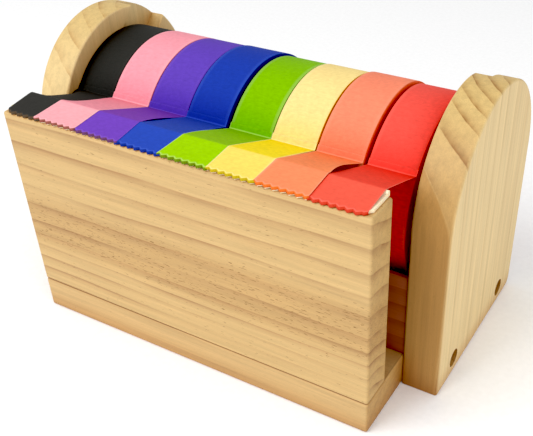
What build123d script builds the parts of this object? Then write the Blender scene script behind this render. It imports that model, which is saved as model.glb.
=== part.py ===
from build123d import *
from math import cos, radians, sin
import os

# A tabletop tape dispenser in pine: a base, a tall front board that carries the cutter strip, and two
# round-topped side panels whose grooves hold a thick dowel with eight rolls of crepe paper tape.
# X runs along the dowel, left to right; Y from the front of the dispenser to its back; Z is up.
# The origin is under the middle of the dispenser, on the surface that it stands on.

# Driving sizes, mm
INNER_W = 205.0        # between the two side panels
BOARD_T = 19.0         # thickness of the base and the front board
PANEL_T = 19.6         # thickness of a side panel
DEPTH = 146.0          # front of the base to its back
FRONT_H = 104.5        # height of the front board above the base
PANEL_D = 107.0        # depth of a side panel; its round top is a half circle of this width
PANEL_H = 145.6
TAPE_W = 24.4          # width of one tape
CORE_BORE_R = 38.1     # three-inch cardboard core
CORE_WALL = 2.5
AXLE_R = 14.0          # thick dowel that the rolls hang on
ROLL_R = 48.7          # a roll with most of its tape left

# Places that follow from them
FRONT_Y = -DEPTH / 2
BACK_Y = DEPTH / 2
PANEL_Y = BACK_Y - PANEL_D
ARCH_Y = BACK_Y - PANEL_D / 2
ARCH_Z = PANEL_H - PANEL_D / 2
BOARD_TOP = BOARD_T + FRONT_H

# The rolls and the dowel: a core hangs from the top of the dowel, clear of it by RUN_GAP
ROLL_Y = FRONT_Y + 91.5
ROLL_Z = 86.0
RUN_GAP = 0.3
AXLE_Z = ROLL_Z + CORE_BORE_R - AXLE_R - RUN_GAP
END_PLAY = 0.5         # room between a dowel end and its groove's floor

# The grooves: blind, sloping up and back from the dowel's seat, and open through the round top
GROOVE_DEPTH = 9.0
GROOVE_R = AXLE_R + 0.6
GROOVE_SLOPE = 47.5    # degrees above level
GROOVE_RUN = 70.0      # long enough to leave the panel's round top

# One entry for each tape: name, left edge, and how its radius differs from ROLL_R
ROLLS = (
    ("black", -102.30, 0.0),
    ("pink", -77.65, 0.2),
    ("purple", -53.00, 0.1),
    ("blue", -28.35, 0.5),
    ("green", -2.50, -0.6),
    ("yellow", 22.15, -0.3),
    ("orange", 47.70, 0.4),
    ("red", 74.00, -0.5),
)

# The cutter strip: a thin plate with teeth in front and a low bead along its back
STRIP_INSET = 1.8      # from the front board's ends
STRIP_T = 1.6
STRIP_BACK = 19.2      # from the front board's face to the strip's back
TOOTH_PITCH = 3.9
TOOTH_DEPTH = 1.5
TOOTH_VALLEY = 1.2     # from the front board's face to the valleys between the teeth
STRIP_CORNER = 3.5     # cut off the strip's front corners
BEAD_R = 1.3           # half the bead's width, and nearly its height above the plate
BEAD_H = 1.4

# The tape tails that run from the rolls to the teeth
TAIL_T = 0.3
TAIL_FRONT = 0.6       # from the front board's face
TAIL_RISE = 5.0        # how far ahead of the bead the tape starts to lift
PEEL_ANGLE = 144.5     # round the roll from the level line at its back to where the tape leaves it
PEEL_GAP = 0.5

# The retaining panel, screws and small roundings
RETAINER_T = 3.0
RETAINER_H = 47.4
RETAINER_SETBACK = 1.3
SCREW_Y = 20.5         # from either upright edge of a side panel
HEAD_R = 4.0
HEAD_H = 2.4
SHANK_R = 2.0
SCREW_LEN = 38.0       # under the head
BORE_R = 5.0
BORE_DEPTH = 8.0
HOLE_CLEARANCE = 0.15
EDGE_R = 1.3
PANEL_EDGE_R = 1.2
BACK_CORNER_R = 5.0


def block(x0, x1, y0, y1, z0, z1):
    """A box from its two opposite corners."""
    return Pos((x0 + x1) / 2, (y0 + y1) / 2, (z0 + z1) / 2) * Box(x1 - x0, y1 - y0, z1 - z0)


def rod(radius, x0, x1, y, z):
    """A round bar along X."""
    return Pos((x0 + x1) / 2, y, z) * Rot(0, 90, 0) * Cylinder(radius, x1 - x0)


def along_x(curve, start, length):
    """A closed Y-Z outline, carried along X from start."""
    return Pos(start, 0, 0) * extrude(make_face(Plane.YZ * curve), length, dir=(1, 0, 0))


def wood_screw(length):
    """A pan-head screw along +X, with the underside of its head at X = 0."""
    half = Polyline((-HEAD_H, 0), (-HEAD_H, HEAD_R - 1.2), (-HEAD_H + 0.8, HEAD_R - 0.2), (0, HEAD_R),
                    (0, SHANK_R), (length - 4, SHANK_R), (length, 0.3), (length, 0), close=True)
    body = revolve(make_face(Plane.XY * half), Axis.X)
    recess = [Pos(-HEAD_H, 0, 0) * Rot(turn, 0, 0) * Box(2.6, 4.4, 0.9) for turn in (0, 90)]
    return body - recess


def side_screw_places():
    """Y and Z of the two screws in each side panel."""
    return [(PANEL_Y + SCREW_Y, BOARD_T / 2), (BACK_Y - SCREW_Y, BOARD_T / 2)]


def base_screw_places():
    """X of the screws that come up through the base into the front board."""
    return [-INNER_W * 0.36, 0, INNER_W * 0.36]


def base_board():
    board = block(-INNER_W / 2, INNER_W / 2, FRONT_Y, BACK_Y, 0, BOARD_T)
    board = fillet(board.edges(), EDGE_R)
    hole_r = SHANK_R + HOLE_CLEARANCE
    for y, z in side_screw_places():
        for side in (-1, 1):
            inner = side * (INNER_W / 2 + PANEL_T - BORE_DEPTH - SCREW_LEN)
            outer = side * (INNER_W / 2 + 1)
            board -= rod(hole_r, min(inner, outer), max(inner, outer), y, z)
    for x in base_screw_places():
        board -= Pos(x, FRONT_Y + BOARD_T / 2, BOARD_T / 2) * Cylinder(hole_r, BOARD_T + 2)
        board -= Pos(x, FRONT_Y + BOARD_T / 2, BORE_DEPTH / 2) * Cylinder(BORE_R, BORE_DEPTH)
    return board


def front_board():
    board = block(-INNER_W / 2, INNER_W / 2, FRONT_Y, FRONT_Y + BOARD_T, BOARD_T, BOARD_TOP)
    board = fillet(board.edges(), EDGE_R)
    for x in base_screw_places():
        depth = SCREW_LEN - BOARD_T + BORE_DEPTH
        board -= Pos(x, FRONT_Y + BOARD_T / 2, BOARD_T + depth / 2) * Cylinder(SHANK_R + HOLE_CLEARANCE, depth)
    return board


def side_panel(side):
    """side is -1 for the left panel and 1 for the right one."""
    outline = Polyline((BACK_Y, ARCH_Z), (BACK_Y, 0), (PANEL_Y, 0), (PANEL_Y, ARCH_Z))
    top = ThreePointArc((PANEL_Y, ARCH_Z), (ARCH_Y, PANEL_H), (BACK_Y, ARCH_Z))
    board = along_x(outline + top, INNER_W / 2, PANEL_T)
    back_corner = board.edges().filter_by(Axis.X).sort_by(Axis.Z)[:2].sort_by(Axis.Y)[-1]
    board = fillet(back_corner, BACK_CORNER_R)
    rims = board.edges().filter_by(Axis.X, reverse=True)
    board = fillet(rims, PANEL_EDGE_R)
    board -= groove_cutter()
    for y, z in side_screw_places():
        outer = INNER_W / 2 + PANEL_T
        board -= rod(SHANK_R + HOLE_CLEARANCE, INNER_W / 2 - 1, outer + 1, y, z)
        board -= rod(BORE_R, outer - BORE_DEPTH, outer + 1, y, z)
    return board if side > 0 else mirror(board, Plane.YZ)


def groove_cutter():
    """The shape routed out of the right panel: a slot with a round end at the dowel's seat."""
    slot = SlotCenterToCenter(GROOVE_RUN, 2 * GROOVE_R)
    lean = Plane.YZ * Pos(ROLL_Y, AXLE_Z) * Rot(0, 0, GROOVE_SLOPE) * Pos(GROOVE_RUN / 2, 0) * slot
    return Pos(INNER_W / 2, 0, 0) * extrude(lean, GROOVE_DEPTH, dir=(1, 0, 0))


def retaining_panel():
    y0 = PANEL_Y + RETAINER_SETBACK
    panel = block(-INNER_W / 2 + 0.1, INNER_W / 2 - 0.1, y0, y0 + RETAINER_T, BOARD_T, BOARD_T + RETAINER_H)
    return fillet(panel.edges().filter_by(Axis.X).group_by(Axis.Z)[-1], RETAINER_T * 0.25)


def strip_outline():
    """Half-round bead apart, the strip from above: teeth in front, two cut corners, straight back."""
    half = INNER_W / 2 - STRIP_INSET
    valley = FRONT_Y + TOOTH_VALLEY
    first = -half + STRIP_CORNER
    count = round(2 * (half - STRIP_CORNER) / TOOTH_PITCH)
    step = 2 * (half - STRIP_CORNER) / count
    teeth = []
    for k in range(count):
        teeth.append((first + k * step, valley))
        teeth.append((first + (k + 0.5) * step, valley - TOOTH_DEPTH))
    teeth.append((-first, valley))
    back = FRONT_Y + STRIP_BACK
    ends = [(half, valley + STRIP_CORNER), (half, back), (-half, back), (-half, valley + STRIP_CORNER)]
    return make_face(Polyline(*teeth, *ends, close=True))


def cutter_strip():
    plate = Pos(0, 0, BOARD_TOP) * extrude(strip_outline(), STRIP_T, dir=(0, 0, 1))
    half = INNER_W / 2 - STRIP_INSET
    back = FRONT_Y + STRIP_BACK
    foot = BOARD_TOP + STRIP_T
    rise = ThreePointArc((back - 2 * BEAD_R, foot), (back - BEAD_R, foot + BEAD_H), (back, foot))
    bead = along_x(rise + Line((back, foot), (back - 2 * BEAD_R, foot)), -half, 2 * half)
    return plate + bead


def tape_core(left):
    outer = rod(CORE_BORE_R + CORE_WALL, left, left + TAPE_W, ROLL_Y, ROLL_Z)
    return outer - rod(CORE_BORE_R, left - 1, left + TAPE_W + 1, ROLL_Y, ROLL_Z)


def tape_roll(left, radius):
    outer = rod(radius, left, left + TAPE_W, ROLL_Y, ROLL_Z)
    return outer - rod(CORE_BORE_R + CORE_WALL, left - 1, left + TAPE_W + 1, ROLL_Y, ROLL_Z)


def tape_tail(left, radius):
    """The tape from the roll, over the strip's bead and flat along the strip to its teeth."""
    out = radius + PEEL_GAP
    peel = (ROLL_Y + out * cos(radians(PEEL_ANGLE)), ROLL_Z + out * sin(radians(PEEL_ANGLE)))
    flat_z = BOARD_TOP + STRIP_T
    bead_y = FRONT_Y + STRIP_BACK - BEAD_R
    over = BEAD_H + 0.2
    bend = [(bead_y + over * cos(radians(a)), flat_z + over * sin(radians(a))) for a in (115, 90, 70)]
    route = [(FRONT_Y + TAIL_FRONT, flat_z), (bead_y - TAIL_RISE, flat_z), *bend, peel]
    top = [(y, z + TAIL_T) for y, z in reversed(route)]
    return along_x(Polyline(*route, *top, close=True), left, TAPE_W)


def side_screws():
    """Both screws of both panels, each sunk to the floor of its counterbore."""
    head = INNER_W / 2 + PANEL_T - BORE_DEPTH
    screws = []
    for y, z in side_screw_places():
        screws.append(Pos(-head, y, z) * wood_screw(SCREW_LEN))
        screws.append(Pos(head, y, z) * Rot(0, 0, 180) * wood_screw(SCREW_LEN))
    return Compound(children=screws)


def base_screws():
    places = [Pos(x, FRONT_Y + BOARD_T / 2, BORE_DEPTH) for x in base_screw_places()]
    return Compound(children=[place * Rot(0, -90, 0) * wood_screw(SCREW_LEN - 1) for place in places])


def all_parts():
    reach = INNER_W / 2 + GROOVE_DEPTH - END_PLAY
    parts = {
        "base_board": base_board(),
        "front_board": front_board(),
        "left_side_panel": side_panel(-1),
        "right_side_panel": side_panel(1),
        "retaining_panel": retaining_panel(),
        "cutter_strip": cutter_strip(),
        "axle_dowel": chamfer(rod(AXLE_R, -reach, reach, ROLL_Y, AXLE_Z).edges(), 0.8),
        "side_screws": side_screws(),
        "base_screws": base_screws(),
    }
    for name, left, extra in ROLLS:
        parts[name + "_core"] = tape_core(left)
        parts[name + "_tape_roll"] = tape_roll(left, ROLL_R + extra)
        parts[name + "_tape_tail"] = tape_tail(left, ROLL_R + extra)
    return parts


os.makedirs("parts", exist_ok=True)
for node, solid in all_parts().items():
    export_step(solid, "parts/" + node + ".step")
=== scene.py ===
import math

import bpy
import numpy as np
from mathutils import Matrix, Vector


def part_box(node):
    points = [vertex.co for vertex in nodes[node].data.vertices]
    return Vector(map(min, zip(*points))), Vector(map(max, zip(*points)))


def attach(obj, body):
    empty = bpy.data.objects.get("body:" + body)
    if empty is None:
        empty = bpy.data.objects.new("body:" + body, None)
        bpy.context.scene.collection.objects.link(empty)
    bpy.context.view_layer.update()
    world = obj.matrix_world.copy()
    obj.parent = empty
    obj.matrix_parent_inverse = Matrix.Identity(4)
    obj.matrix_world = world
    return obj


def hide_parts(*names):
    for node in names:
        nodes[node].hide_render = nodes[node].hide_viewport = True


# Looks of a tabletop tape dispenser: solid pine boards, a moulded cutter strip and eight rolls of crepe
# paper tape. The boards, strip, dowel, cores and screws are the frame's own nodes with better materials.
# The wound tape and the tape tails are surfaces made here. Lengths in the constants are millimetres.

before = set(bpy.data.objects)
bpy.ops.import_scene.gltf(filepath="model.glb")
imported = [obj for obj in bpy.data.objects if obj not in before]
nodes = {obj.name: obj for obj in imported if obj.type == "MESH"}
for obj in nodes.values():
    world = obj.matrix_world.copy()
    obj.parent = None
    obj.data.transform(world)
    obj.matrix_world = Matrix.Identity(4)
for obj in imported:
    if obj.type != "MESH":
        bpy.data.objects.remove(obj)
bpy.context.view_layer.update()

MM = 0.001


def colour(hex_code):
    """sRGB hex to the linear colour that a shader takes."""
    parts = [int(hex_code[i:i + 2], 16) / 255 for i in (1, 3, 5)]
    linear = [c / 12.92 if c <= 0.04045 else ((c + 0.055) / 1.055) ** 2.4 for c in parts]
    return (*linear, 1.0)


def feed(tree, node, inputs):
    """Fills a node's inputs, given in order or by socket. A node as an input lends its first output."""
    for socket, value in inputs.items() if isinstance(inputs, dict) else enumerate(inputs):
        source = value.outputs[0] if isinstance(value, bpy.types.Node) else value
        if isinstance(source, bpy.types.NodeSocket):
            tree.links.new(source, node.inputs[socket])
        else:
            node.inputs[socket].default_value = source


def add(tree, kind, inputs=(), stops=(), **settings):
    """Adds one shader node: its settings, its inputs as numbers, colours or links, and a ramp's stops."""
    made = tree.nodes.new("ShaderNode" + kind)
    for name, value in settings.items():
        setattr(made, name, value)
    feed(tree, made, inputs)
    for place, (at, tint) in enumerate(stops):
        stop = made.color_ramp.elements[place] if place < 2 else made.color_ramp.elements.new(at)
        stop.position = at
        stop.color = colour(tint) if isinstance(tint, str) else (tint, tint, tint, 1)
    return made


def new_material(name):
    """An empty node material with its surface shader, which is returned with its tree."""
    material = bpy.data.materials.new(name)
    material.use_nodes = True
    tree = material.node_tree
    return material, tree, tree.nodes["Principled BSDF"]


# ---------------------------------------------------------------- materials

# Settings of a Mix node for two colours. Its input 0 is the share of the second, 6 and 7 are the colours,
# and output 2 is the result.
BLENDED = {"data_type": "RGBA"}
MULTIPLIED = {"data_type": "RGBA", "blend_type": "MULTIPLY"}

# Noises in pine: size across the grain and along it in mm, octaves, and a shift that sets each one apart.
# Real fibres, canals and pores are finer. They are as coarse here as they need to be to show.
PINE_NOISES = {
    "bend": (38.0, 210.0, 2, 0.0),
    "waver": (7.0, 60.0, 2, 4.0),
    "patch": (13.0, 85.0, 3, 9.0),
    "fibre": (0.5, 34.0, 4, 2.0),
    "streak": (2.6, 80.0, 3, 6.0),
    "grit": (0.35, 1.6, 2, 7.0),
    "canal": (0.45, 3.6, 1, 12.0),
    "pore": (0.7, 0.7, 3, 3.0),
}
# One growth ring from its start to its end: pale early wood, then late wood that darkens and stops sharply.
RING_STOPS = ((0.0, 0.3), (0.035, 0.0), (0.45, 0.02), (0.72, 0.28), (0.9, 0.68), (0.98, 1.0))
WAVER_MM = 0.9
RESIN_TINT = "#e2d2c2"
CANAL_TINT = "#74501f"
# Painted shade: the colour of the shaded line at a joint, and the colour that shut-in wood darkens towards.
JOINT_SHADE_TINT = "#6b4620"
PAINTED_SHADE_TINT = "#d2a878"

# Noises in crepe paper: size across the tape and along it in mm, octaves and shift. The real wrinkles are
# finer, and are as coarse here as they need to be to show.
CREPE_NOISES = {
    "crepe": (3.4, 0.8, 4, 5.0),
    "mottle": (2.2, 2.2, 3, 8.0),
    "cloud": (14.0, 14.0, 2, 11.0),
    "dust": (0.6, 0.6, 1, 20.0),
}

# Sizes of the other patterns, in cells to the metre.
STRIP_RIPPLE = 180.0   # 5.6 mm each
BOARD_FIBRE = 900.0    # 1.1 mm each, coarser than real fibres, so that they show
BOARD_PLIES = 2000.0   # 0.5 mm each
ZINC_CLOUD = 700.0     # 1.4 mm each
FLOOR_TOOTH = 300.0    # 3.3 mm each


def pine(name, grain, light, dark, pith, ring_mm, contrast=0.6, crowd=(0, 0), twist=(0, 0, 0), flecks=0.5,
         canals=(0, 1), heart=(1000, "#ffffff"), edge_tint="#ffffff", end_tint="#f4e6cc", joint=-1000,
         sway=3.0, seed=0.0):
    """Unvarnished sanded pine, cut from a log whose pith runs along the grain axis through the point pith.

    Each growth ring darkens slowly outwards and ends sharply, and the rings waver along the grain, so a
    face along the grain shows bands, an arch shows slanting ones, and a cut end shows arcs and pores. The
    rings are ring_mm apart, closer by crowd[1] within the radius crowd[0], and bend by a saddle of
    steepness twist[2] about the point twist[:2]. The wood about the radius canals[0] is rich in resin
    canals, and past heart[0] it is darker. joint is the height of a glued joint, whose eased edges hold a
    thin line of shade.
    """
    material, tree, surface = new_material(name)
    place = add(tree, "TexCoord")
    split = add(tree, "SeparateXYZ", (place.outputs["Object"],))
    first, second, along = {"X": (1, 2, 0), "Z": (0, 1, 2)}[grain]
    board = add(tree, "CombineXYZ", [split.outputs[axis] for axis in (first, second, along)])
    mm = add(tree, "VectorMath", (board, (1000, 1000, 1000)), operation="MULTIPLY")
    noise = {}
    for key, (across, length, octaves, shift) in PINE_NOISES.items():
        at = add(tree, "VectorMath", (mm, (1 / across, 1 / across, 1 / length), (shift + seed, seed, shift)),
                 operation="MULTIPLY_ADD")
        noise[key] = add(tree, "TexNoise", {"Vector": at, "Scale": 1.0, "Detail": octaves}).outputs["Fac"]

    # distance from the pith, bent by the saddle and by slow noise
    ab = add(tree, "SeparateXYZ", (mm,))
    flat = add(tree, "CombineXYZ", (ab.outputs[0], ab.outputs[1]))
    radius = add(tree, "VectorMath", (flat, (*pith, 0)), operation="DISTANCE").outputs["Value"]
    from_first = add(tree, "Math", (ab.outputs[0], twist[0]), operation="SUBTRACT")
    from_second = add(tree, "Math", (ab.outputs[1], twist[1]), operation="SUBTRACT")
    saddle = add(tree, "Math", (from_first, from_second), operation="MULTIPLY")
    radius = add(tree, "Math", (saddle, twist[2], radius), operation="MULTIPLY_ADD")
    for key, reach in (("bend", 2 * sway), ("waver", WAVER_MM)):
        swing = add(tree, "Math", (noise[key], 0.5), operation="SUBTRACT")
        radius = add(tree, "Math", (swing, reach, radius), operation="MULTIPLY_ADD")

    # the place within a ring, from 0 to 1
    inside = add(tree, "Math", (crowd[0], radius), operation="SUBTRACT")
    inside = add(tree, "Math", (inside, 0.0), operation="MAXIMUM")
    extra = add(tree, "Math", (inside, crowd[1]), operation="MULTIPLY")
    count = add(tree, "Math", (radius, ring_mm), operation="DIVIDE")
    count = add(tree, "Math", (count, extra), operation="SUBTRACT")
    phase = add(tree, "Math", (count,), operation="FRACT")
    ring = add(tree, "ValToRGB", (phase,), stops=RING_STOPS)

    # how strongly the rings show: in patches, less on an upright board's broad faces, more on a cut end
    patchy = add(tree, "Math", (noise["patch"], 3.4, -1.05), operation="MULTIPLY_ADD")
    patchy = add(tree, "Math", (patchy, 0.2), operation="MAXIMUM")
    patchy = add(tree, "Math", (patchy, 1.0), operation="MINIMUM")
    facing = add(tree, "SeparateXYZ", (place.outputs["Normal"],)).outputs
    sideways = add(tree, "Math", (facing[0],), operation="ABSOLUTE")
    steady = add(tree, "Math", (sideways, -0.6 if grain == "Z" else 0.0, 1.0), operation="MULTIPLY_ADD")
    end = add(tree, "Math", (facing[along],), operation="ABSOLUTE")
    end = add(tree, "Math", (end, 2.0), operation="POWER")
    steady = add(tree, "Math", (end, 0.3, steady), operation="MULTIPLY_ADD")
    steady = add(tree, "Math", (steady, contrast), operation="MULTIPLY")
    strength = add(tree, "Math", (patchy, steady), operation="MULTIPLY")
    late = add(tree, "Math", (ring, strength), operation="MULTIPLY")
    wood = add(tree, "Mix", {0: late, 6: colour(light), 7: colour(dark)}, **BLENDED).outputs[2]

    # the darker heart, and the tint of the narrow edges of an upright board
    past = add(tree, "Math", (radius, heart[0]), operation="SUBTRACT")
    past = add(tree, "Math", (past, 2.0), operation="MULTIPLY", use_clamp=True)
    wood = add(tree, "Mix", {0: past, 6: wood, 7: colour(heart[1])}, **MULTIPLIED).outputs[2]
    narrow = add(tree, "Math", (facing[1],), operation="ABSOLUTE")
    narrow = add(tree, "Math", (narrow, 1.6, -0.5), operation="MULTIPLY_ADD", use_clamp=True)
    wood = add(tree, "Mix", {0: narrow, 6: wood, 7: colour(edge_tint)}, **MULTIPLIED).outputs[2]

    # fibre streaks, a slow change of tone and short dark resin canals
    tone = 0.57
    for key, weight in (("fibre", 0.30), ("streak", 0.38), ("grit", 0.16)):
        tone = add(tree, "Math", (noise[key], weight, tone), operation="MULTIPLY_ADD")
    wood = add(tree, "Mix", {0: 1.0, 6: wood, 7: tone}, **MULTIPLIED).outputs[2]
    away = add(tree, "Math", (radius, canals[0]), operation="SUBTRACT")
    away = add(tree, "Math", (away, canals[1]), operation="DIVIDE")
    away = add(tree, "Math", (away,), operation="ABSOLUTE")
    rich = add(tree, "Math", (1.0, away), operation="SUBTRACT", use_clamp=True)
    rich = add(tree, "Math", (rich, 0.5), operation="MINIMUM")
    wood = add(tree, "Mix", {0: rich, 6: wood, 7: colour(RESIN_TINT)}, **MULTIPLIED).outputs[2]
    limit = add(tree, "Math", (rich, -0.14, 0.74), operation="MULTIPLY_ADD")
    canal = add(tree, "Math", (noise["canal"], limit), operation="GREATER_THAN")
    canal = add(tree, "Math", (canal, flecks), operation="MULTIPLY")
    wood = add(tree, "Mix", {0: canal, 6: wood, 7: colour(CANAL_TINT)}, **BLENDED).outputs[2]

    # cut ends: darker, greyer and speckled with pores
    pores = add(tree, "Math", (noise["pore"], 0.3, 0.85), operation="MULTIPLY_ADD")
    cut = add(tree, "Mix", {0: 1.0, 6: wood, 7: colour(end_tint)}, **MULTIPLIED).outputs[2]
    cut = add(tree, "Mix", {0: 1.0, 6: cut, 7: pores}, **MULTIPLIED).outputs[2]
    wood = add(tree, "Mix", {0: end, 6: wood, 7: cut}, **BLENDED).outputs[2]

    # painted shade: a line 1 mm high along the joint on upright faces, where the eased edges hold shade, and
    # darker, deeper colour where ambient occlusion finds the wood shut in
    off = add(tree, "Math", (split.outputs[2], 1000.0, -joint), operation="MULTIPLY_ADD")
    off = add(tree, "Math", (off,), operation="ABSOLUTE")
    line = add(tree, "Math", (off, -1.6, 0.8), operation="MULTIPLY_ADD", use_clamp=True)
    level = add(tree, "Math", (facing[2],), operation="ABSOLUTE")
    level = add(tree, "Math", (level, 16.0), operation="POWER")
    upright = add(tree, "Math", (1.0, level), operation="SUBTRACT")
    line = add(tree, "Math", (line, upright), operation="MULTIPLY")
    wood = add(tree, "Mix", {0: line, 6: wood, 7: colour(JOINT_SHADE_TINT)}, **BLENDED).outputs[2]
    open_to = add(tree, "AmbientOcclusion", {"Distance": 0.014}, samples=6).outputs["AO"]
    open_to = add(tree, "Math", (open_to, 1.3), operation="POWER")
    painted_shade = add(tree, "Math", (1.0, open_to), operation="SUBTRACT")
    wood = add(tree, "Mix", {0: painted_shade, 6: wood, 7: colour(PAINTED_SHADE_TINT)}, **MULTIPLIED).outputs[2]

    rough = add(tree, "Math", (noise["fibre"], 0.15, 0.5), operation="MULTIPLY_ADD")
    height = add(tree, "Math", (ring, 0.3), operation="MULTIPLY")
    height = add(tree, "Math", (noise["fibre"], 0.6, height), operation="MULTIPLY_ADD")
    bump = add(tree, "Bump", {"Height": height, "Strength": 0.25, "Distance": 0.00025})
    feed(tree, surface, {"Base Color": wood, "Roughness": rough, "IOR": 1.5, "Normal": bump})
    return material


def crepe_paper(name, body, laid, span_shade, edge, torn, speck=0.0):
    """Crepe paper masking tape: matt, finely wrinkled across its length, with faintly lighter cut edges.

    Painted shade: the colour darkens and deepens where ambient occlusion finds it shut in, standing in for
    light caught between two layers of one colour. The map's U runs across the tape and V along it, both in
    millimetres. Four attributes choose the colour: laid is 1 where the tape lies on the strip, painted
    lighter as lit there; free is 1 where it hangs or shows its wound sides, painted in shade; torn is 1 on
    the lip turned down over the teeth, painted in shade; and rim is 1 along a cut edge and on painted
    highlights at the peel line and behind the teeth.
    """
    material, tree, surface = new_material(name)
    place = add(tree, "UVMap")
    noise = {}
    for key, (across, length, octaves, shift) in CREPE_NOISES.items():
        at = add(tree, "VectorMath", (place, (1 / across, 1 / length, 1), (shift, shift, shift)),
                 operation="MULTIPLY_ADD")
        noise[key] = add(tree, "TexNoise", {"Vector": at, "Scale": 1.0, "Detail": octaves}).outputs["Fac"]
    part = {}
    for key in ("laid", "free", "rim", "torn"):
        part[key] = add(tree, "Attribute", attribute_name=key).outputs["Fac"]

    # the colour of each stretch, painted lighter on the strip and painted shade where it hangs free, then
    # wrinkles and clouds, then the edges and painted highlights, the painted shade of the turned-down lip and
    # specks of dust
    sheet = add(tree, "Mix", {0: part["laid"], 6: colour(body), 7: colour(laid)}, **BLENDED).outputs[2]
    sheet = add(tree, "Mix", {0: part["free"], 6: sheet, 7: colour(span_shade)}, **BLENDED).outputs[2]
    tone = 0.62
    for key, weight in (("crepe", 0.30), ("mottle", 0.30), ("cloud", 0.14)):
        tone = add(tree, "Math", (noise[key], weight, tone), operation="MULTIPLY_ADD")
    sheet = add(tree, "Mix", {0: 1.0, 6: sheet, 7: tone}, **MULTIPLIED).outputs[2]
    sheet = add(tree, "Mix", {0: part["rim"], 6: sheet, 7: colour(edge)}, **BLENDED).outputs[2]
    sheet = add(tree, "Mix", {0: part["torn"], 6: sheet, 7: colour(torn)}, **BLENDED).outputs[2]
    dust = add(tree, "Math", (noise["dust"], 0.74), operation="GREATER_THAN")
    dust = add(tree, "Math", (dust, speck), operation="MULTIPLY")
    sheet = add(tree, "Mix", {0: dust, 6: sheet, 7: colour(edge)}, **BLENDED).outputs[2]

    # painted shade: deeper and darker where ambient occlusion finds the tape shut in
    open_to = add(tree, "AmbientOcclusion", {"Distance": 0.03}, samples=6).outputs["AO"]
    power = add(tree, "Math", (open_to, -0.9, 1.85), operation="MULTIPLY_ADD")
    sheet = add(tree, "Gamma", (sheet, power))
    height = add(tree, "Math", (noise["mottle"], 0.3), operation="MULTIPLY")
    height = add(tree, "Math", (noise["crepe"], 0.7, height), operation="MULTIPLY_ADD")
    bump = add(tree, "Bump", {"Height": height, "Strength": 0.6, "Distance": 0.0002})
    feed(tree, surface, {"Base Color": sheet, "Roughness": 0.82, "IOR": 1.45, "Normal": bump})
    return material


def cream_polystyrene():
    """Moulded polystyrene of the cutter strip: cream, satin, with a faint moulding ripple."""
    material, tree, surface = new_material("cream_polystyrene")
    place = add(tree, "TexCoord").outputs["Object"]
    ripple = add(tree, "TexNoise", {"Vector": place, "Scale": STRIP_RIPPLE, "Detail": 2.0}).outputs["Fac"]
    tint = add(tree, "ValToRGB", (ripple,), stops=((0.3, "#f6e3bd"), (0.7, "#fff0cf")))
    bump = add(tree, "Bump", {"Height": ripple, "Strength": 0.08, "Distance": 0.0003})
    feed(tree, surface, {"Base Color": tint, "Roughness": 0.38, "IOR": 1.59, "Normal": bump,
                         "Subsurface Weight": 0.15, "Subsurface Radius": (0.002, 0.0012, 0.0006)})
    return material


def core_board(centre):
    """Spiral-wound grey board of the cores: dull brown, fibrous, with fine plies on its cut ends.

    The plies are a sine of the distance from the cores' axis, which runs along X through centre.
    """
    material, tree, surface = new_material("core_board")
    place = add(tree, "TexCoord").outputs["Object"]
    off = add(tree, "VectorMath", (place, (0, -centre[1], -centre[2])), operation="ADD")
    off = add(tree, "VectorMath", (off, (0, 1, 1)), operation="MULTIPLY")
    radius = add(tree, "VectorMath", (off,), operation="LENGTH").outputs["Value"]
    ply = add(tree, "Math", (radius, 2 * math.pi * BOARD_PLIES), operation="MULTIPLY")
    ply = add(tree, "Math", (ply,), operation="SINE")
    fibre = add(tree, "TexNoise", {"Vector": place, "Scale": BOARD_FIBRE, "Detail": 4.0}).outputs["Fac"]
    mixed = add(tree, "Math", (ply, 0.12, fibre), operation="MULTIPLY_ADD")
    tint = add(tree, "ValToRGB", (mixed,), stops=((0.25, "#a3825a"), (0.75, "#cfb085")))
    bump = add(tree, "Bump", {"Height": mixed, "Strength": 0.3, "Distance": 0.0002})
    feed(tree, surface, {"Base Color": tint, "Roughness": 0.9, "Normal": bump})
    return material


def zinc_plated_steel():
    """Zinc-plated screws: pale grey metal, faintly mottled by the plating."""
    material, tree, surface = new_material("zinc_plated_steel")
    place = add(tree, "TexCoord").outputs["Object"]
    cloud = add(tree, "TexNoise", {"Vector": place, "Scale": ZINC_CLOUD, "Detail": 3.0}).outputs["Fac"]
    tint = add(tree, "ValToRGB", (cloud,), stops=((0.3, "#a9a79c"), (0.7, "#d4d2c8")))
    rough = add(tree, "MapRange", {0: cloud, 3: 0.28, 4: 0.45})
    feed(tree, surface, {"Base Color": tint, "Roughness": rough, "Metallic": 1.0})
    return material


# ---------------------------------------------------------------- surfaces


def mesh_object(name, points, faces, material, uv=None, **attributes):
    """A mesh from an array of points and one of quads. uv and the attributes hold one value a point."""
    mesh = bpy.data.meshes.new(name)
    mesh.from_pydata(points.reshape(-1, 3).tolist(), [], faces.tolist())
    mesh.update()
    mesh.polygons.foreach_set("use_smooth", np.ones(len(mesh.polygons), bool))
    if uv is not None:
        corner = np.zeros(len(mesh.loops), np.int32)
        mesh.loops.foreach_get("vertex_index", corner)
        uv_map = mesh.uv_layers.new(name="UVMap")
        uv_map.data.foreach_set("uv", uv.reshape(-1, 2)[corner].astype(np.float32).ravel())
    for key, values in attributes.items():
        attribute = mesh.attributes.new(key, "FLOAT", "POINT")
        attribute.data.foreach_set("value", values.astype(np.float32).ravel())
    mesh.materials.append(material)
    made = bpy.data.objects.new(name, mesh)
    bpy.context.scene.collection.objects.link(made)
    return made


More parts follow.
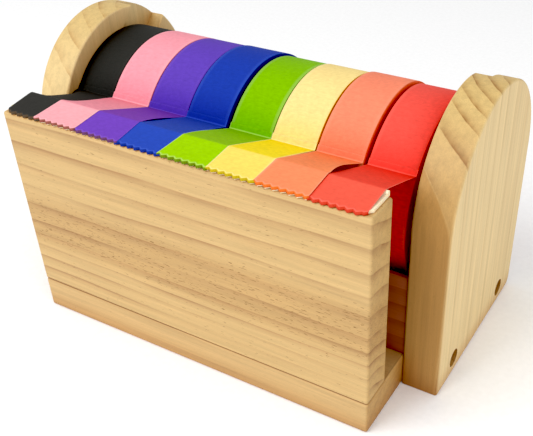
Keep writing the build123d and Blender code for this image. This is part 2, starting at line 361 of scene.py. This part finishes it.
def grid_quads(rows, columns, wrap_rows=False, wrap_columns=False):
    """Quads between neighbouring points of a rows by columns grid, closed round on itself where asked."""
    index = np.arange(rows * columns).reshape(rows, columns)
    if wrap_rows:
        index = np.vstack([index, index[:1]])
    if wrap_columns:
        index = np.hstack([index, index[:, :1]])
    return np.stack([index[:-1, :-1], index[1:, :-1], index[1:, 1:], index[:-1, 1:]], -1).reshape(-1, 4)


def smooth_noise(values, seed, octaves=4):
    """A sum of sines of random phase, about 1 high, of one array of angles in radians: it closes round."""
    draw = np.random.default_rng(seed)
    total = np.zeros_like(values)
    for k in range(1, octaves + 1):
        total += np.sin(k * values + draw.uniform(0, 2 * np.pi)) / k
    return total / 2


# ---------------------------------------------------------------- the tape

STRIP_T = 1.6          # the cutter strip's thickness
BEAD_R = 1.3           # its bead's radius
TOOTH_DEPTH = 1.5
STRIP_HALF = 100.7     # half its length
STRIP_CORNER = 3.5     # its cut-off corners, which have no teeth
TOOTH_COUNT = round(2 * (STRIP_HALF - STRIP_CORNER) / 3.9)
TOOTH_STEP = 2 * (STRIP_HALF - STRIP_CORNER) / TOOTH_COUNT

TAPES = {
    # name: (rolled colour; colour on the strip, painted lighter as lit there; painted shade colour where it
    # hangs free and on the wound sides; cut edge, also the painted highlights; painted shade of the
    # turned-down lip; specks)
    "black": ("#272724", "#2c2b28", "#2b2a27", "#3c3b37", "#5a4a38", 0.35),
    "pink": ("#ee94a0", "#efa0a7", "#e88c99", "#f6c0c6", "#96584c", 0.0),
    "purple": ("#593aac", "#693bb1", "#7338a6", "#8a63cc", "#6a4068", 0.2),
    "blue": ("#18349d", "#2342ac", "#2340a4", "#4a6bd0", "#16308c", 0.2),
    "green": ("#77b100", "#92c500", "#84b400", "#cfe494", "#6c8410", 0.0),
    "yellow": ("#efd386", "#efd25c", "#f2d81a", "#f6ecb0", "#c0a81e", 0.0),
    "orange": ("#ee8262", "#f08457", "#f08350", "#f6a98c", "#e0702a", 0.0),
    "red": ("#e95044", "#e95541", "#e6402e", "#f48476", "#cc4028", 0.0),
}
# How each tail lies, in mm: its left edge's place at the teeth and at the fold over the bead, measured from
# the roll's left side; its right edge's place likewise, measured from the roll's right side; the height that
# it lies above the strip; and what its left and right edges rise by between fold and roll.
LIE = {
    "black": ((2.7, 2.2), (0.8, 0.6), 0.00, -15.0, -1.9),
    "pink": ((-3.0, -1.6), (-1.2, -0.8), 0.32, -0.9, 0.0),
    "purple": ((-2.0, -1.6), (0.5, -0.3), 0.16, 0.0, 0.8),
    "blue": ((-1.2, -1.1), (0.3, 0.3), 0.00, 0.0, 0.0),
    "green": ((-2.5, -0.7), (0.6, 0.2), 0.16, 0.5, 0.0),
    "yellow": ((-0.2, -0.2), (0.3, 0.3), 0.32, 0.0, 0.0),
    "orange": ((-1.3, -0.6), (1.3, 0.9), 0.48, 0.0, 1.9),
    "red": ((-1.3, -1.3), (1.2, 1.2), 0.05, 0.0, 0.0),
}
TAPE_T = 0.14
SAG_START = 1.6        # behind the bead's crest, where the tape is clear of the bead and the board
PEEL_ANGLE = 144.5     # round the roll from the level line at its back to where the tape leaves it
LIP_REACH = 0.35       # how far the torn end stands in front of the teeth
TURN_DOWN = 1.5        # how far it turns down over them
CORE_R = 40.6
ANGLES = 320           # points round a roll
ROLL_EASE = 0.25       # a roll's rounded corners
TURN_STEP = 0.14       # how far the turns at a roll's sides step in at most
ROLL_SWELL = 0.07      # the bulge of a roll's face
CLEAR_STRIP = 0.05     # a tail's clearance above the strip
CLEAR_BEAD = 0.2       # above the bead's crest
CLEAR_ROLL = 0.1       # and above the roll's face
STATION = 0.35         # from one row of points on a tail to the next
EDGE_SHARE = 0.45      # the share of a tail's width that an edge's rise takes up


def wound_tape(name, seed):
    """A roll of wound tape: a square-sided profile with its corners eased, turned about the roll's axis.

    The outer face bulges by a slow sum of sines round the roll, and both sides step in and out from turn to
    turn by up to TURN_STEP.
    """
    low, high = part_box(name + "_tape_roll")
    y0, z0 = (low.y + high.y) / 2, (low.z + high.z) / 2
    outer = (high.z - low.z) / 2 / MM
    left, right = low.x / MM, high.x / MM
    turns = np.linspace(CORE_R + 0.02, outer - ROLL_EASE, 22)
    draw = np.random.default_rng(seed)
    step_left = draw.uniform(0.0, TURN_STEP, turns.size)
    step_right = draw.uniform(0.0, TURN_STEP, turns.size)
    across = np.linspace(left + ROLL_EASE, right - ROLL_EASE, 13)
    x = np.concatenate([left + step_left, across, right - step_right[::-1]])
    r = np.concatenate([turns, np.full(across.size, outer), turns[::-1]])
    v_map = np.concatenate([turns, outer + across - left, outer + right - left + outer - turns[::-1]])
    on_face = np.concatenate([np.zeros(turns.size), np.ones(across.size), np.zeros(turns.size)])
    angle = np.linspace(0, 2 * np.pi, ANGLES, endpoint=False)[:, None]
    middle = np.sin(np.pi * np.clip((x - left) / (right - left), 0, 1))
    swell = ROLL_SWELL * smooth_noise(angle, seed + 50, 6) * on_face * middle
    radius = (r + swell) * MM
    y = y0 + radius * np.cos(angle)
    z = z0 + radius * np.sin(angle)
    points = np.stack([np.broadcast_to(x * MM, radius.shape), y, z], -1)
    uv = np.stack([np.broadcast_to(x - left, radius.shape), np.broadcast_to(angle * outer, radius.shape)], -1)
    sides = np.broadcast_to(1 - on_face, radius.shape)
    uv[..., 0] = np.where(sides > 0.5, v_map, uv[..., 0])
    rim = np.clip(1 - np.minimum(x - left, right - x) / 0.7, 0, 1) * 0.5 * on_face
    faces = grid_quads(*radius.shape, wrap_rows=True, wrap_columns=True)
    # the wound sides take the painted shade colour of the hanging stretch
    made = mesh_object(name + "_wound_tape", points, faces, paper[name], uv, free=0.8 * sides,
                       rim=np.broadcast_to(rim, radius.shape))
    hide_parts(name + "_tape_roll")
    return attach(made, name + "_roll")


def tail_route(y_front, flat_z, bead_y, bead_h, centre, radius):
    """Stations along the tape's middle: straight from the teeth up to the bead's crest, straight down to
    the peel line, then a short way on the roll. Each stretch is sampled evenly, then rounded by a weighted
    running mean.
    """
    peel = np.radians(PEEL_ANGLE)
    rest = np.array([centre[0] + radius * np.cos(peel), centre[1] + radius * np.sin(peel)])
    crest = np.array([bead_y, flat_z + bead_h + CLEAR_BEAD])
    corners = np.array([[y_front, flat_z], [y_front + 1.5, flat_z], crest, rest])
    reach = np.concatenate([[0], np.cumsum(np.linalg.norm(np.diff(corners, axis=0), axis=1))])
    along = np.arange(0, reach[-1], STATION)
    y = np.interp(along, reach, corners[:, 0])
    z = np.interp(along, reach, corners[:, 1])
    kernel = np.hanning(9)[1:-1]
    kernel /= kernel.sum()
    pad = kernel.size // 2
    eased = [np.convolve(np.pad(c, pad, "reflect", reflect_type="odd"), kernel, "valid") for c in (y, z)]
    turn = np.radians(np.linspace(PEEL_ANGLE - 0.5, PEEL_ANGLE - 4.0, 7))
    y = np.concatenate([eased[0], centre[0] + (radius + 0.02) * np.cos(turn)])
    z = np.concatenate([eased[1], centre[1] + (radius + 0.02) * np.sin(turn)])
    return y, z, reach


def tape_tail(name, seed):
    """A strip of tape as a closed skin: its route swept across, a zigzag cut in front, edges that lift.

    Across the tape the columns fall on the teeth's points, so the cut end follows them. Height gains the lift
    of each edge, a bell along the free stretch times the square of the closeness to that edge.
    """
    left_lie, right_lie, height, rise_left, rise_right = LIE[name]
    low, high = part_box(name + "_tape_roll")
    roll_left, roll_right = low.x / MM, high.x / MM
    centre = ((low.y + high.y) / 2 / MM, (low.z + high.z) / 2 / MM)
    radius = (high.z - low.z) / 2 / MM + CLEAR_ROLL
    strip_low, strip_high = (np.array(p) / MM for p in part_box("cutter_strip"))
    flat_z = strip_low[2] + STRIP_T + height + CLEAR_STRIP
    y, z, reach = tail_route(strip_low[1] + TOOTH_DEPTH / 2, flat_z, strip_high[1] - BEAD_R,
                             strip_high[2] - strip_low[2] - STRIP_T, centre, radius)

    # the torn lip: a few stations more, that go down in front of the teeth
    lip = np.linspace(1, 0, 5)[:-1]
    y = np.concatenate([y[0] - LIP_REACH * np.sqrt(1 - lip ** 2 * 0.2), y])
    z = np.concatenate([z[0] - TURN_DOWN * lip ** 1.5 - 0.02, z])
    run = np.concatenate([[0], np.cumsum(np.hypot(np.diff(y), np.diff(z)))])
    run -= run[lip.size]
    rows = y.size

    # columns: evenly across, moved so that the front ones meet the teeth
    front_left, front_right = roll_left + left_lie[0], roll_right + right_lie[0]
    front_w = front_right - front_left
    teeth = np.arange(np.ceil(front_left / TOOTH_STEP * 2), np.floor(front_right / TOOTH_STEP * 2) + 1)
    front = np.concatenate([[front_left], teeth * TOOTH_STEP / 2, [front_right]])
    front = np.sort(np.concatenate([front, (front[1:] + front[:-1]) / 2]))
    share = (front - front_left) / front_w
    columns = share.size
    way = np.clip(run / reach[3], 0, 1)
    fold_at = reach[2] / reach[3]
    left, right = (np.interp(way, [0, fold_at, 0.8, 1], [*lie, 0, 0]) for lie in (left_lie, right_lie))
    x = (roll_left + left)[:, None] * (1 - share) + (roll_right + right)[:, None] * share

    # the zigzag of the torn end, cut along the strip's corners, then the lift of the edges and slight waves
    zigzag = TOOTH_DEPTH * (np.abs(((front / TOOTH_STEP) % 1) - 0.5) * 2 - 0.5)
    past = np.maximum(np.abs(front) - (STRIP_HALF - STRIP_CORNER), 0)
    corner = np.where(past > 0, past - TOOTH_DEPTH / 2 + 0.3, 0)
    before = np.maximum(run, 0)
    cut = y[:, None] + np.exp(-before / 2.0)[:, None] * np.where(past > 0, 0, zigzag)
    cut = cut + np.exp(-before / 5.0)[:, None] * np.maximum(corner, 0)
    hang = np.clip((run - reach[2] - SAG_START) / (reach[3] - reach[2] - SAG_START), 0, 1)
    bell = (np.sin(np.pi * hang ** 0.6) ** 1.5 * (hang > 0) * (hang < 1))[:, None]
    near_right = np.clip((share - (1 - EDGE_SHARE)) / EDGE_SHARE, 0, 1) ** 2
    near_left = np.clip((EDGE_SHARE - share) / EDGE_SHARE, 0, 1) ** 2
    lift = bell * (rise_right * near_right + rise_left * near_left)
    wave = 0.1 * bell * smooth_noise(share * 4.0, seed)
    top_z = z[:, None] + lift + wave

    slope = np.gradient(np.stack([y, z]), axis=1)
    slope /= np.linalg.norm(slope, axis=0)
    normal = np.stack([-slope[1], slope[0]])
    thick = np.full(rows, TAPE_T)
    thick[run > reach[3]] = np.linspace(TAPE_T, 0.03, (run > reach[3]).sum())
    skin = (normal * thick)[..., None]
    top = np.stack([x, cut + skin[0], top_z + skin[1]], -1)
    under = np.stack([x, cut, top_z], -1)
    points = np.concatenate([top, under[:, ::-1]], axis=1) * MM
    faces = grid_quads(rows, 2 * columns, wrap_columns=True)
    ends = []
    for row, flip in ((0, False), (rows - 1, True)):
        upper = row * 2 * columns + np.arange(columns)
        lower = row * 2 * columns + 2 * columns - 1 - np.arange(columns)
        quads = np.stack([upper[:-1], upper[1:], lower[1:], lower[:-1]], -1)
        ends.append(quads[:, ::-1] if flip else quads)
    faces = np.concatenate([faces, *ends])
    u = np.concatenate([share * front_w, (share * front_w)[::-1]])
    grid = (rows, 2 * columns)
    uv = np.stack([np.broadcast_to(u, grid), np.broadcast_to(run[:, None] + 300, grid)], -1)

    # the stretches of colour along the run (painted lighter on the strip, painted shade where it hangs free),
    # painted highlights at the peel line and behind the teeth, and painted shade on the lip turned down over
    # the teeth
    free = np.interp(run, [reach[2] - 0.6, reach[2] + 1.0, reach[3] - 0.6, reach[3] - 0.1], [0, 1, 1, 0])
    laid = np.interp(run, [reach[3] - 1.0, reach[3]], [1, 0])
    # painted shade: 1 on the lip turned down over the teeth, which takes a darker colour
    torn = np.interp(run, [-0.25, 0.0], [1, 0])
    painted_highlight = 0.55 * np.exp(-((run - reach[3]) / 0.3) ** 2) + 0.5 * np.exp(-((run - 0.15) / 0.25) ** 2)
    sides = np.clip(1 - np.minimum(u, front_w - u) / 0.45, 0, 1) * 0.7
    rim = np.maximum(sides, painted_highlight[:, None]) * (1 - torn[:, None])
    made = mesh_object(name + "_tail", points, faces, paper[name], uv,
                       free=np.broadcast_to(free[:, None], grid), laid=np.broadcast_to(laid[:, None], grid),
                       torn=np.broadcast_to(torn[:, None], grid), rim=rim)
    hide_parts(name + "_tape_tail")
    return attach(made, "frame")


# ---------------------------------------------------------------- camera, light and floor


CAMERA_PLACE = (0.2186, -0.3158, 0.3035)
CAMERA_LENS = 55.58
CAMERA_SHIFT = (-0.0666, 0.0675)
CAMERA_ROUND = 31.56   # degrees round to the right from straight in front
CAMERA_DOWN = 36.14    # degrees that it looks down
CAMERA_TILT = -1.88
ROOM_LIGHT = 0.70
BLACK_LEVEL = 0.028
FLOOR_HALF = 4.0       # metres
FLOOR_DROP = 0.0002    # keeps the floor clear of the base's underside


def camera():
    """A 56 mm lens above the right front corner, tilted a little to the left."""
    data = bpy.data.cameras.new("camera")
    data.sensor_width = 36
    data.lens = CAMERA_LENS
    data.shift_x, data.shift_y = CAMERA_SHIFT
    data.clip_end = 20
    made = bpy.data.objects.new("camera", data)
    bpy.context.scene.collection.objects.link(made)
    turn = Matrix.Rotation(math.radians(CAMERA_ROUND), 4, "Z")
    tip = Matrix.Rotation(math.radians(90 - CAMERA_DOWN), 4, "X")
    tilt = Matrix.Rotation(math.radians(CAMERA_TILT), 4, "Z")
    made.matrix_world = Matrix.Translation(CAMERA_PLACE) @ turn @ tip @ tilt
    bpy.context.scene.camera = made


def soft_box(name, place, aim, size, power, tint):
    """A square soft light at place, turned to face aim."""
    data = bpy.data.lights.new(name, "AREA")
    data.size = size
    data.energy = power
    data.color = colour(tint)[:3]
    made = bpy.data.objects.new(name, data)
    bpy.context.scene.collection.objects.link(made)
    away = Matrix.Translation(place).translation - Matrix.Translation(aim).translation
    made.matrix_world = Matrix.Translation(place) @ away.to_track_quat("Z", "Y").to_matrix().to_4x4()


def studio():
    """A white room, one large key light in front on the left and a weaker one on the right."""
    world = bpy.data.worlds.new("room")
    bpy.context.scene.world = world
    world.use_nodes = True
    feed(world.node_tree, world.node_tree.nodes["Background"], (colour("#ffffff"), ROOM_LIGHT))
    soft_box("key", (-0.5, -0.9, 1.1), (0, 0, 0.08), 0.9, 12.2, "#ffffff")
    soft_box("fill", (0.9, -0.5, 0.7), (0, 0, 0.08), 0.7, 3.8, "#fbfdff")
    view = bpy.context.scene.view_settings
    view.view_transform = "Standard"
    view.use_curve_mapping = True
    view.curve_mapping.black_level = (BLACK_LEVEL,) * 3


def floor():
    """A pale sheet of paper, larger than the view."""
    material, tree, surface = new_material("pale_paper")
    place = add(tree, "TexCoord").outputs["Object"]
    tooth = add(tree, "TexNoise", {"Vector": place, "Scale": FLOOR_TOOTH})
    tint = add(tree, "ValToRGB", (tooth.outputs["Fac"],), stops=((0.3, "#fbfbfb"), (0.7, "#ffffff")))
    feed(tree, surface, {"Base Color": tint, "Roughness": 0.9})
    points = FLOOR_HALF * np.array([[-1, -1, 0], [1, -1, 0], [1, 1, 0], [-1, 1, 0]]) - [0, 0, FLOOR_DROP]
    mesh_object("floor", points, np.array([[0, 1, 2, 3]]), material)


# ---------------------------------------------------------------- the object


def dress(node_names, material):
    """Gives CAD nodes a material."""
    for name in node_names:
        data = nodes[name].data
        data.materials.clear()
        data.materials.append(material)


dress(["front_board"],
      pine("pine_front_board", "X", "#cbaa74", "#986c43", pith=(-73.0, 0.0), ring_mm=12.0, contrast=0.72,
           crowd=(60.0, 0.04), twist=(-73.0, 40.0, 0.0045), flecks=0.8, canals=(62.0, 20.0),
           end_tint="#f0e9dc", joint=19.0, sway=4.5, seed=3.0))
dress(["base_board"],
      pine("pine_base_board", "X", "#caa873", "#a98455", pith=(-20.0, -55.0), ring_mm=9.0, contrast=0.4,
           flecks=0.3, end_tint="#e9dcc4", joint=19.0, sway=4.0, seed=31.0))
dress(["right_side_panel"],
      pine("pine_right_panel", "Z", "#dec38e", "#a67c46", pith=(152.0, 49.0), ring_mm=11.06, contrast=0.8,
           crowd=(70.0, 0.05), flecks=0.2, heart=(88.5, "#eddfcc"), edge_tint="#dccbb4",
           end_tint="#eee6cc", sway=1.0, seed=12.0))
dress(["left_side_panel"],
      pine("pine_left_panel", "Z", "#dcc18b", "#b3884f", pith=(-60.0, 70.0), ring_mm=9.5, contrast=0.7,
           flecks=0.2, end_tint="#f2ecd8", sway=2.0, seed=44.0))
dress(["retaining_panel"],
      pine("pine_retaining_panel", "X", "#a05c40", "#6e3018", pith=(-30.0, -60.0), ring_mm=10.0,
           flecks=0.1, end_tint="#e0c8a8", seed=70.0))
dress(["axle_dowel"],
      pine("pine_dowel", "X", "#d8be8e", "#b89460", pith=(60.0, 70.0), ring_mm=5.0, contrast=0.4,
           flecks=0.1, seed=90.0))
dress(["cutter_strip"], cream_polystyrene())
dress(["side_screws", "base_screws"], zinc_plated_steel())

axis_low, axis_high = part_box("red_core")
dress([name + "_core" for name in TAPES], core_board((axis_low + axis_high) / 2))

paper = {name: crepe_paper(name + "_crepe_paper", *looks) for name, looks in TAPES.items()}
for number, tape in enumerate(TAPES):
    wound_tape(tape, 10 + number)
    tape_tail(tape, 30 + number)

floor()
studio()
camera()
